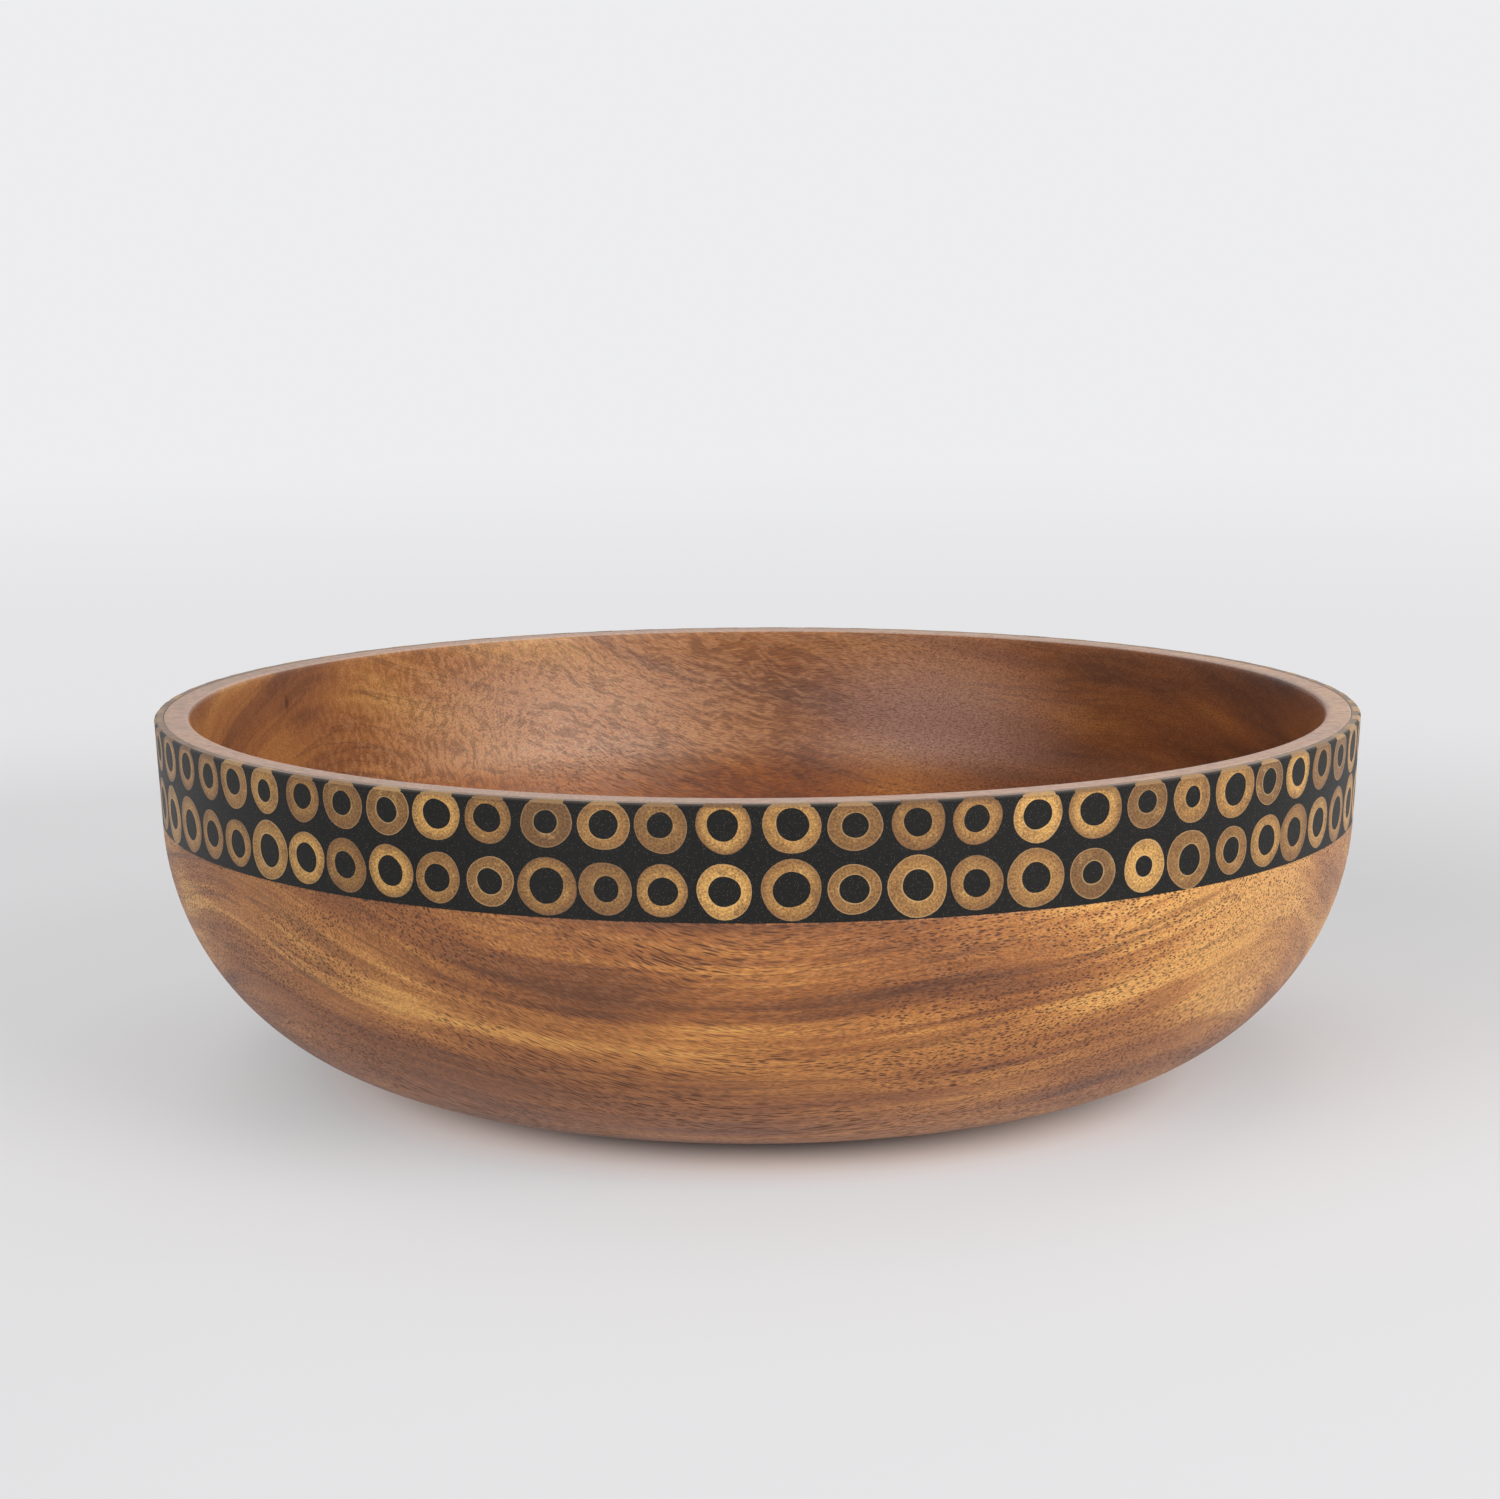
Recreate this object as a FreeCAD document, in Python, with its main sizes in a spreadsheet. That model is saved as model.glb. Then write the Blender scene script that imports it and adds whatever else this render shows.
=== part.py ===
import FreeCAD, Part
import math
import os
import Sketcher

# A shallow wooden bowl, turned on a lathe, with a black resin band let into the outside of its rim.
# Two rows of bamboo slices sit in pockets of the band, their ends sanded flush with the wall.
# Z runs up the turning axis, and the origin is the middle of the foot. Lengths are in millimetres
# and angles in degrees.

SIZES = {
    # The turned form: a flat, two arcs and a straight tapered wall, outside and inside alike.
    "rim_radius": 152.5,
    "bowl_height": 96.0,
    "foot_radius": 50.0,
    "floor_radius": 46.0,
    "floor_thickness": 10.5,
    "wall_thickness": 8.8,
    "wall_taper": 3.0,
    "wall_below_band": 1.0,
    "base_arc_sweep": 17.0,
    "lip_round": 1.2,
    # The inlaid band and how the slices are laid in it.
    "band_chamfer": 0.6,
    "slice_thickness": 2.0,
    "glue_line": 0.05,
    "resin_bed": 0.15,
    "upper_row_depth": 4.8,
    "row_gap": 0.3,
    "mean_column_gap": 0.7,
    "least_column_gap": 0.35,
    "band_margin": 0.2,
    "front_column_azimuth": -87.4,
}

# The twelve canes that the slices are sawn from: outer diameter and bore of each.
CANES = {
    "a": (13.6, 7.0),
    "b": (13.3, 8.0),
    "c": (13.8, 7.6),
    "d": (12.1, 6.9),
    "e": (11.7, 5.3),
    "f": (11.4, 6.5),
    "g": (11.7, 5.7),
    "h": (12.5, 7.2),
    "i": (11.3, 6.0),
    "j": (12.2, 6.3),
    "k": (11.8, 4.9),
    "l": (10.8, 5.2),
}

# The order in which the canes are laid, cycled round the rim. The first letter is the front column,
# the next ones run anticlockwise from it, and the last ones lie clockwise of it.
UPPER_ORDER = "hgjidcekcidjgbfhfijliggdfefgd"
LOWER_ORDER = "bfajaekaihahbccffcdjdfibgfd"

# The slices are laid by eye. Cycled likewise, each digit is the share of the spare room that goes
# into the gap after its column.
SLACK_ORDER = "42051722004577200140540079"

# Sizes that follow from the driving ones, as expressions on the sheet. A pocket is larger than its
# slice by the glue line all round. Its flat back stands off the round rebate by its sag, and the
# resin bed is what is left behind the pocket's edge.
LARGEST_CANE = "max(" + "; ".join(f"Sizes.cane_{cane}_outer" for cane in CANES) + ")"
POCKET_DEPTH = "(Sizes.slice_thickness + Sizes.glue_line)"
LARGEST_POCKET = f"({LARGEST_CANE} + 2 * Sizes.glue_line)"
POCKET_SAG = f"(Sizes.rim_radius - sqrt(Sizes.rim_radius ^ 2 - ({LARGEST_POCKET} / 2) ^ 2))"
REBATE_DEPTH = f"({POCKET_DEPTH} + {POCKET_SAG} + Sizes.resin_bed)"
ROW_DEPTH = {
    "upper": "Sizes.upper_row_depth",
    "lower": f"(Sizes.upper_row_depth + {LARGEST_CANE} + Sizes.row_gap)",
}
BAND_HEIGHT = f"({ROW_DEPTH['lower']} + {LARGEST_CANE} / 2 + Sizes.band_margin)"
WALL_HEIGHT = f"({BAND_HEIGHT} + Sizes.wall_below_band)"
TAPER = "tan(Sizes.wall_taper * 1 deg)"
INNER_RIM = "(Sizes.rim_radius - Sizes.wall_thickness)"
REBATE_RIM = f"(Sizes.rim_radius - {REBATE_DEPTH})"

UP = FreeCAD.Vector(0, 0, 1)
ORIGIN = FreeCAD.Vector(0, 0, 0)
SAME = 1e-4

doc = FreeCAD.newDocument("inlaid_bowl")


def fill_sheet():
    """Write every driving size into the sheet, one aliased cell each."""
    sheet = doc.addObject("Spreadsheet::Sheet", "Sizes")
    sizes = dict(SIZES)
    for cane, (outer, bore) in CANES.items():
        sizes[f"cane_{cane}_outer"] = outer
        sizes[f"cane_{cane}_bore"] = bore
    for row, (name, value) in enumerate(sizes.items(), start=1):
        sheet.set(f"A{row}", name)
        sheet.set(f"B{row}", str(value))
        sheet.setAlias(f"B{row}", name)
    doc.recompute()
    return sheet


sheet = fill_sheet()


def worth(expression):
    """The present value of an expression on the sheet, as a plain number."""
    return float(sheet.evalExpression(expression.replace("Sizes.", "")))


# ---- Sketching and turning ----

def new_body(label):
    """An empty PartDesign body, which later carries one sub-part or one piece of stock."""
    body = doc.addObject("PartDesign::Body", label)
    body.Label = label
    return body


def new_sketch(body, name):
    """A sketch on the body's YZ plane: across is the radius, up is the height."""
    sketch = body.newObject("Sketcher::SketchObject", name)
    plane = next(item for item in body.Origin.OriginFeatures if item.Role == "YZ_Plane")
    sketch.AttachmentSupport = [(plane, "")]
    sketch.MapMode = "FlatFace"
    return sketch


def add_line(sketch, start, end):
    """Add a straight edge between two (radius, height) points."""
    return sketch.addGeometry(Part.LineSegment(FreeCAD.Vector(*start, 0), FreeCAD.Vector(*end, 0)))


def add_arc(sketch, centre, radius, start, end):
    """Add an arc about a (radius, height) centre, anticlockwise between two angles in radians."""
    circle = Part.Circle(FreeCAD.Vector(*centre, 0), UP, radius)
    return sketch.addGeometry(Part.ArcOfCircle(circle, start, end))


def join(sketch, kind, *refs):
    """Add a constraint that has no size, such as tangent or coincident."""
    sketch.addConstraint(Sketcher.Constraint(kind, *refs))


def dimension(sketch, kind, refs, expression):
    """Add a dimension to a sketch and bind it to the sheet."""
    start_value = worth(expression)
    if kind == "Angle":
        start_value = math.radians(start_value)
        expression = f"({expression}) * 1 deg"
    index = sketch.addConstraint(Sketcher.Constraint(kind, *refs, start_value))
    sketch.setExpression(f"Constraints[{index}]", expression)


def place(sketch, edge, end, radius, height):
    """Dimension one end of an edge from the turning axis and from the foot."""
    dimension(sketch, "DistanceX", (-1, 1, edge, end), radius)
    dimension(sketch, "DistanceY", (-1, 1, edge, end), height)


def add_wall(sketch, rim, drop):
    """Add a straight tapered wall, from drop below the rim up to it, and dimension both ends."""
    foot = f"{rim} - {drop} * {TAPER}"
    low = f"Sizes.bowl_height - {drop}"
    wall = add_line(sketch, (worth(foot), worth(low)), (worth(rim), worth("bowl_height")))
    place(sketch, wall, 1, foot, low)
    place(sketch, wall, 2, rim, "Sizes.bowl_height")
    return wall


def turn(body, kind, sketch):
    """Revolve a sketch all the way round the turning axis: a Revolution adds, a Groove cuts."""
    feature = body.newObject(f"PartDesign::{kind}", f"{body.Label}_{kind.lower()}")
    feature.Profile = sketch
    feature.ReferenceAxis = (sketch, ["V_Axis"])
    feature.Angle = 360
    doc.recompute()
    return feature


def rim_edge(feature, radius):
    """The name of the round edge of that radius at the level of the rim."""
    level = worth("bowl_height")
    for number, edge in enumerate(feature.Shape.Edges, start=1):
        curve = edge.Curve
        if not isinstance(curve, Part.Circle):
            continue
        if abs(curve.Radius - radius) < SAME and abs(curve.Center.z - level) < SAME:
            return f"Edge{number}"
    raise RuntimeError(f"no rim edge of radius {radius}")


# ---- The turned bowl ----

def arc_radii(rim, flat, level):
    """The radii of the base and belly arcs that close a face from its flat to its straight wall.

    The base arc leaves the flat level and turns by a set sweep, and the belly arc turns on until it
    meets the wall at its taper. Across and up give two linear equations for the two radii.
    """
    sweep = math.radians(worth("base_arc_sweep"))
    slope = math.radians(90 - worth("wall_taper"))
    across = rim - worth(f"{WALL_HEIGHT} * {TAPER}") - flat
    rise = worth(f"bowl_height - {WALL_HEIGHT}") - level
    base_x, belly_x = math.sin(sweep), math.sin(slope) - math.sin(sweep)
    base_y, belly_y = 1 - math.cos(sweep), math.cos(sweep) - math.cos(slope)
    scale = base_x * belly_y - belly_x * base_y
    base = (across * belly_y - belly_x * rise) / scale
    belly = (base_x * rise - across * base_y) / scale
    return base, belly


def add_turned_face(sketch, rim, flat, level):
    """Draw one face of the bowl: a level flat, the base arc, the belly arc and the wall."""
    flat_end = (worth(flat), worth(level))
    base_radius, belly_radius = arc_radii(worth(rim), *flat_end)
    down = -math.pi / 2
    sweep = math.radians(worth("base_arc_sweep"))
    slope = math.radians(90 - worth("wall_taper"))
    base_centre = (flat_end[0], flat_end[1] + base_radius)
    shift = base_radius - belly_radius
    belly_centre = (base_centre[0] + shift * math.sin(sweep), base_centre[1] - shift * math.cos(sweep))
    flat_line = add_line(sketch, (0, flat_end[1]), flat_end)
    base = add_arc(sketch, base_centre, base_radius, down, down + sweep)
    belly = add_arc(sketch, belly_centre, belly_radius, down + sweep, down + slope)
    wall = add_wall(sketch, rim, WALL_HEIGHT)
    join(sketch, "PointOnObject", flat_line, 1, -2)
    join(sketch, "Horizontal", flat_line)
    join(sketch, "Tangent", flat_line, 2, base, 1)
    join(sketch, "Tangent", base, 2, belly, 1)
    join(sketch, "Tangent", belly, 2, wall, 1)
    dimension(sketch, "DistanceX", (-1, 1, flat_line, 2), flat)
    dimension(sketch, "Angle", (base,), "Sizes.base_arc_sweep")
    return flat_line, wall


def make_bowl_body():
    """The bowl, turned from one blank, with the rebate for the band and a rounded inner lip."""
    body = new_body("bowl_body")
    sketch = new_sketch(body, "bowl_profile")
    foot, outer_wall = add_turned_face(sketch, "Sizes.rim_radius", "Sizes.foot_radius", "0")
    floor, inner_wall = add_turned_face(sketch, INNER_RIM, "Sizes.floor_radius", "Sizes.floor_thickness")
    height = worth("bowl_height")
    rim = add_line(sketch, (worth("rim_radius"), height), (worth(INNER_RIM), height))
    axis = add_line(sketch, (0, 0), (0, worth("floor_thickness")))
    join(sketch, "PointOnObject", foot, 1, -1)
    join(sketch, "Coincident", rim, 1, outer_wall, 2)
    join(sketch, "Coincident", rim, 2, inner_wall, 2)
    join(sketch, "Coincident", axis, 1, foot, 1)
    join(sketch, "Coincident", axis, 2, floor, 1)
    dimension(sketch, "DistanceY", (axis, 1, axis, 2), "Sizes.floor_thickness")
    blank = turn(body, "Revolution", sketch)
    rebate = turn(body, "Groove", draw_rebate(body))
    if rebate.Shape.Volume >= blank.Shape.Volume:
        raise RuntimeError("the rebate cut nothing")

    lip = body.newObject("PartDesign::Fillet", "lip_fillet")
    lip.Base = (rebate, [rim_edge(rebate, worth(INNER_RIM))])
    lip.setExpression("Radius", "Sizes.lip_round")
    return body


def draw_rebate(body):
    """The section that the rebate takes out of the wall, running clear of the wood outside."""
    sketch = new_sketch(body, "rebate_profile")
    clear = f"Sizes.rim_radius + {REBATE_DEPTH}"
    back = add_wall(sketch, REBATE_RIM, BAND_HEIGHT)
    top_height = worth("bowl_height")
    low_height = worth(f"bowl_height - {BAND_HEIGHT}")
    back_foot = worth(f"{REBATE_RIM} - {BAND_HEIGHT} * {TAPER}")
    top = add_line(sketch, (worth(REBATE_RIM), top_height), (worth(clear), top_height))
    side = add_line(sketch, (worth(clear), top_height), (worth(clear), low_height))
    ledge = add_line(sketch, (worth(clear), low_height), (back_foot, low_height))
    join(sketch, "Coincident", back, 2, top, 1)
    join(sketch, "Coincident", top, 2, side, 1)
    join(sketch, "Coincident", side, 2, ledge, 1)
    join(sketch, "Coincident", ledge, 2, back, 1)
    join(sketch, "Horizontal", top)
    join(sketch, "Vertical", side)
    join(sketch, "Horizontal", ledge)
    dimension(sketch, "DistanceX", (-1, 1, side, 1), clear)
    return sketch


# ---- The band and its slices ----

def make_band_stock():
    """The whole filled rebate, resin and bamboo together, turned flush with the wall."""
    body = new_body("band_stock")
    sketch = new_sketch(body, "band_profile")
    face = add_wall(sketch, "Sizes.rim_radius", BAND_HEIGHT)
    back = add_wall(sketch, REBATE_RIM, BAND_HEIGHT)
    for end in (1, 2):
        ends = [sketch.getPoint(edge, end) for edge in (face, back)]
        closing = add_line(sketch, (ends[0].x, ends[0].y), (ends[1].x, ends[1].y))
        join(sketch, "Coincident", closing, 1, face, end)
        join(sketch, "Coincident", closing, 2, back, end)
    stock = turn(body, "Revolution", sketch)

    edge = body.newObject("PartDesign::Chamfer", "band_edge_chamfer")
    edge.Base = (stock, [rim_edge(stock, worth("rim_radius"))])
    edge.setExpression("Size", "Sizes.band_chamfer")
    return body


def make_cylinder(name, diameter, back, row):
    """A cylinder square to the wall at the +X side, from a flat back out past the surface."""
    cylinder = doc.addObject("Part::Cylinder", name)
    cylinder.Placement = FreeCAD.Placement(ORIGIN, FreeCAD.Rotation(FreeCAD.Vector(0, 1, 0), 90))
    lean = "Sizes.wall_taper * 1 deg"
    depth = ROW_DEPTH[row]
    cylinder.setExpression("Radius", f"{diameter} / 2")
    cylinder.setExpression("Height", f"2 * {back}")
    cylinder.setExpression("Placement.Rotation.Angle", f"90 deg + {lean}")
    cylinder.setExpression(
        "Placement.Base.x", f"Sizes.rim_radius - {depth} * {TAPER} - {back} * cos({lean})")
    cylinder.setExpression("Placement.Base.z", f"Sizes.bowl_height - {depth} + {back} * sin({lean})")
    return cylinder


def make_ring(name, outer, bore, back, row):
    """A ring square to the wall at the +X side: one cylinder less another."""
    ring = doc.addObject("Part::Cut", name)
    ring.Base = make_cylinder(f"{name}_outer", outer, back, row)
    ring.Tool = make_cylinder(f"{name}_bore", bore, back, row)
    return ring


def make_sample_slice(cane, row, stock):
    """One slice of a cane at the +X side: the ring that its pocket takes, and the slice sanded flush."""
    name = f"{row}_{cane}"
    outer, bore = f"Sizes.cane_{cane}_outer", f"Sizes.cane_{cane}_bore"
    pocket = make_ring(
        f"pocket_{name}",
        f"({outer} + 2 * Sizes.glue_line)", f"({bore} - 2 * Sizes.glue_line)", POCKET_DEPTH, row)
    sanded = doc.addObject("Part::Common", f"sanded_{name}")
    sanded.Base = make_ring(f"slice_{name}", outer, bore, "Sizes.slice_thickness", row)
    sanded.Tool = stock
    return pocket, sanded


def cycled(order, count):
    """The entries of a cycled order for that many columns, the front one in the middle."""
    return [order[k % len(order)] for k in range(-(count // 2), count - count // 2)]


def widths_of(count):
    """The width of each of that many columns, which is that of its larger slice."""
    columns = zip(cycled(UPPER_ORDER, count), cycled(LOWER_ORDER, count))
    return [max(worth(f"cane_{cane}_outer") for cane in column) for column in columns]


def lay_columns():
    """Lay the slices out in columns of two, as (azimuth, upper cane, lower cane) each.

    As many columns go round as fit with the mean gap between them, at the backs of the lower row,
    where there is least room. Every gap is then the least gap and its share of the spare room.
    """
    back_radius = worth(f"rim_radius - {ROW_DEPTH['lower']} * {TAPER} - slice_thickness")
    room = 2 * math.pi * back_radius
    count = 1
    while sum(widths_of(count + 1)) + (count + 1) * worth("mean_column_gap") <= room:
        count += 1
    widths = widths_of(count)
    shares = [int(digit) for digit in cycled(SLACK_ORDER, count)]
    least = worth("least_column_gap")
    spare = (room - sum(widths) - count * least) / sum(shares)
    middles = []
    edge = 0
    for width, share in zip(widths, shares):
        middles.append(edge + width / 2)
        edge += width + least + share * spare
    front = middles[count // 2]
    azimuths = [
        worth("front_column_azimuth") + math.degrees((middle - front) / back_radius)
        for middle in middles
    ]
    return list(zip(azimuths, cycled(UPPER_ORDER, count), cycled(LOWER_ORDER, count)))


def turned_copy(shape, azimuth):
    """A copy of a shape from the +X side, carried round the turning axis."""
    copy = shape.copy()
    copy.rotate(ORIGIN, UP, azimuth)
    return copy


def make_inlay(stock):
    """The resin band with a pocket for every slice, and the slices, one group for each cane."""
    samples = {
        (row, cane): make_sample_slice(cane, row, stock)
        for row, order in (("upper", UPPER_ORDER), ("lower", LOWER_ORDER))
        for cane in sorted(set(order))
    }
    doc.recompute()
    cuts = []
    slices = {cane: [] for cane in CANES}
    for azimuth, upper, lower in lay_columns():
        for row, cane in (("upper", upper), ("lower", lower)):
            pocket, sanded = samples[row, cane]
            cuts.append(turned_copy(pocket.Shape, azimuth))
            slices[cane].extend(turned_copy(solid, azimuth) for solid in sanded.Shape.Solids)

    pockets = doc.addObject("Part::Feature", "pockets")
    pockets.Shape = Part.makeCompound(cuts)
    resin = doc.addObject("Part::Cut", "resin_band")
    resin.Base = stock
    resin.Tool = pockets
    groups = []
    for cane, solids in slices.items():
        group = doc.addObject("Part::Feature", f"bamboo_slices_{cane}")
        group.Shape = Part.makeCompound(solids)
        groups.append(group)
    return [resin] + groups


def check_document(parts):
    """Stop if any object failed, or if a sub-part is empty or not valid."""
    for item in doc.Objects:
        if "Invalid" in item.State or "Error" in item.State:
            raise RuntimeError(f"{item.Label} failed: {item.State}")
    for part in parts:
        if part.Shape.isNull() or not part.Shape.Solids or not part.Shape.isValid():
            raise RuntimeError(f"{part.Label} has no valid solid")


parts = [make_bowl_body()] + make_inlay(make_band_stock())
doc.recompute()
check_document(parts)

os.makedirs("parts", exist_ok=True)
for part in parts:
    part.Shape.exportStep(f"parts/{part.Label}.step")
    print(f"{part.Label}: {len(part.Shape.Solids)} solids, {part.Shape.Volume:.0f} mm3")
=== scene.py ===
import math

import bpy
import numpy as np
from mathutils import Matrix, Vector


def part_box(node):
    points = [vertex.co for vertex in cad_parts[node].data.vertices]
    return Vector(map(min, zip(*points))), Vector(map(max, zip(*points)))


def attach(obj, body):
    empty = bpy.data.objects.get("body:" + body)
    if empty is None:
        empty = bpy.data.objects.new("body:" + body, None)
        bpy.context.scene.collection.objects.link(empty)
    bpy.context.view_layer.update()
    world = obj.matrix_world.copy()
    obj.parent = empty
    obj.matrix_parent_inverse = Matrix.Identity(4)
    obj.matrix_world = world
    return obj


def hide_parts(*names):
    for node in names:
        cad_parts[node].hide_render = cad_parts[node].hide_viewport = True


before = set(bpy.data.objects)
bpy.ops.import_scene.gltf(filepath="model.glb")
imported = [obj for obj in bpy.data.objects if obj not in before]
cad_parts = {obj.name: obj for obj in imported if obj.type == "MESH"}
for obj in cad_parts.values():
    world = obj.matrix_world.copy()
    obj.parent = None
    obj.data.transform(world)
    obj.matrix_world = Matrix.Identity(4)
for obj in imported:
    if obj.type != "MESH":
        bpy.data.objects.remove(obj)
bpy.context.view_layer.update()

# ---- The bowl ----
# One blank of open-pored brown hardwood, its grain running from side to side, turned on a lathe
# and oiled. A rebate round the outside of the rim takes the inlaid band.

RIM_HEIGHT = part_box("bowl_body")[1][2]
RIM_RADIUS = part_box("resin_band")[1][0]
BAND_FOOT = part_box("resin_band")[0][2]
FOOT_RADIUS = 0.050
FLOOR_RADIUS = 0.046
FLOOR_THICKNESS = 0.0105
WALL_THICKNESS = 0.0088
WALL_TAPER = math.radians(3.0)
BASE_SWEEP = math.radians(17.0)
WALL_FOOT = BAND_FOOT - 0.001
REBATE_DEPTH = 0.00235
LIP_ROUND = 0.0012
BACK_EDGE_ROUND = 0.00025
BOWL_STEPS = 448


def wall_radius(height, inset=0.0):
    """The radius of the tapered wall at a height: the rim's, less the drop times the taper's tangent."""
    return RIM_RADIUS - inset - (RIM_HEIGHT - height) * math.tan(WALL_TAPER)


def turned_face(inset, flat, level):
    """One face of the bowl from the end of its flat up to the foot of the wall.

    The base arc turns from level by BASE_SWEEP and the belly arc turns on to the wall's taper. Their
    radii solve two linear equations, one for the way across and one for the way up.
    """
    slope = math.pi / 2 - WALL_TAPER
    turns = np.array([
        [math.sin(BASE_SWEEP), math.sin(slope) - math.sin(BASE_SWEEP)],
        [1 - math.cos(BASE_SWEEP), math.cos(BASE_SWEEP) - math.cos(slope)],
    ])
    reach = [wall_radius(WALL_FOOT, inset) - flat, WALL_FOOT - level]
    base, belly = np.linalg.solve(turns, reach)
    first = np.linspace(0, BASE_SWEEP, 16)
    second = np.linspace(BASE_SWEEP, slope, 44)[1:]
    start = np.array([flat, level])
    joint = start + base * np.array([math.sin(BASE_SWEEP), 1 - math.cos(BASE_SWEEP)])
    base_arc = start + base * np.array([np.sin(first), 1 - np.cos(first)]).T
    belly_arc = joint + belly * np.array([
        np.sin(second) - math.sin(BASE_SWEEP), math.cos(BASE_SWEEP) - np.cos(second)]).T
    return np.vstack([base_arc, belly_arc])


def straight(start, end, count):
    """Evenly spaced points from start up to but not including end."""
    part = np.linspace(0, 1, count, endpoint=False)[:, None]
    return np.asarray(start) * (1 - part) + np.asarray(end) * part


def rounded(centre, radius, start, end, count=6):
    """Points of a small arc about a centre, between two angles in degrees."""
    angle = np.radians(np.linspace(start, end, count))
    return np.asarray(centre) + radius * np.array([np.cos(angle), np.sin(angle)]).T


def outer_section():
    """The bowl's section from the middle of the foot up the outside and the rebate to the lip."""
    face = turned_face(0, FOOT_RADIUS, 0)
    ledge = (wall_radius(BAND_FOOT), BAND_FOOT)
    nook = (wall_radius(BAND_FOOT, REBATE_DEPTH), BAND_FOOT)
    crown = wall_radius(RIM_HEIGHT, REBATE_DEPTH) - BACK_EDGE_ROUND
    lip = wall_radius(RIM_HEIGHT, WALL_THICKNESS) + LIP_ROUND
    return np.vstack([
        straight((0, 0), face[0], 8),
        face,
        straight(face[-1], ledge, 3)[1:],
        straight(ledge, nook, 3),
        straight(nook, (crown + BACK_EDGE_ROUND, RIM_HEIGHT - BACK_EDGE_ROUND), 12),
        rounded((crown, RIM_HEIGHT - BACK_EDGE_ROUND), BACK_EDGE_ROUND, 0, 90, 4),
        straight((crown, RIM_HEIGHT), (lip, RIM_HEIGHT), 6)[1:],
    ])


def inner_section():
    """The bowl's section from the rounded lip down the inside to the middle of the floor."""
    face = turned_face(WALL_THICKNESS, FLOOR_RADIUS, FLOOR_THICKNESS)
    lip = (wall_radius(RIM_HEIGHT, WALL_THICKNESS) + LIP_ROUND, RIM_HEIGHT - LIP_ROUND)
    below = RIM_HEIGHT - 2 * LIP_ROUND
    return np.vstack([
        rounded(lip, LIP_ROUND, 90, 180 - math.degrees(WALL_TAPER), 7),
        straight((wall_radius(below, WALL_THICKNESS), below), face[-1], 14),
        face[::-1],
        straight(face[0], (0, FLOOR_THICKNESS), 8)[1:],
        [(0, FLOOR_THICKNESS)],
    ])


def new_piece(name, points, faces, finish, slot, *nodes):
    """A mesh object at the origin with its finish, standing in for CAD nodes."""
    mesh = bpy.data.meshes.new(name)
    mesh.from_pydata(points, [], faces)
    mesh.materials.append(finish)
    mesh.update()
    piece = bpy.data.objects.new(name, mesh)
    bpy.context.scene.collection.objects.link(piece)
    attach(piece, "root")
    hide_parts(*nodes)
    return piece


def add_values(piece, **values):
    """Store one number for each point of a piece under each name, for its finish to read."""
    for name, value in values.items():
        piece.data.attributes.new(name, "FLOAT", "POINT").data.foreach_set("value", value)


def turned_grid(section, steps):
    """The grid of a section of (radius, height) points turned about Z.

    Point (i, j) is (r_i cos a_j, r_i sin a_j, z_i) with a_j = 2 pi j / steps, and face (i, j) joins
    rows i and i + 1, the last row joining the first again.
    """
    angle = 2 * np.pi * np.arange(steps) / steps
    radius, height = section[:, :1], section[:, 1:]
    grid = np.stack([radius * np.cos(angle), radius * np.sin(angle), height + 0 * angle], axis=2)
    i, j = np.meshgrid(np.arange(len(section)), np.arange(steps), indexing="ij")
    i_next, j_next = (i + 1) % len(section), (j + 1) % steps
    faces = np.stack([i * steps + j, i * steps + j_next, i_next * steps + j_next, i_next * steps + j], axis=2)
    return grid, faces


def turn_bowl(finish):
    """The bowl's closed surface. On the axis one point stands for all of its row, above and below."""
    section = np.vstack([outer_section(), inner_section()])
    steps = BOWL_STEPS
    grid, faces = turned_grid(section, steps)
    rows = len(section)
    points = np.vstack([grid[0, :1], grid[1:-1].reshape(-1, 3), grid[-1, :1]])
    number = np.arange(rows * steps) - (steps - 1)
    number[:steps] = 0
    number[-steps:] = len(points) - 1
    faces = number[faces[:-1]]
    quads = faces[1:-1].reshape(-1, 4).tolist()
    foot = faces[0][:, [0, 2, 3]].tolist()
    floor = faces[-1][:, [0, 1, 2]].tolist()
    piece = new_piece("bowl_body_turned", points, foot + quads + floor, finish, "oiled_wood", "bowl_body")
    piece.data.polygons.foreach_set("use_smooth", np.ones(len(piece.data.polygons), dtype=bool))
    within = np.arange(rows) >= len(outer_section())
    add_values(piece, inside=np.concatenate([[0.0], np.repeat(within[1:-1], steps), [1.0]]))


def colour(red, green, blue):
    """A colour given as it shows on a screen, 0 to 255, as the linear values that a shader takes."""
    shown = np.array([red, green, blue]) / 255
    linear = np.where(shown <= 0.04045, shown / 12.92, ((shown + 0.055) / 1.055) ** 2.4)
    return (*linear.tolist(), 1.0)


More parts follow.
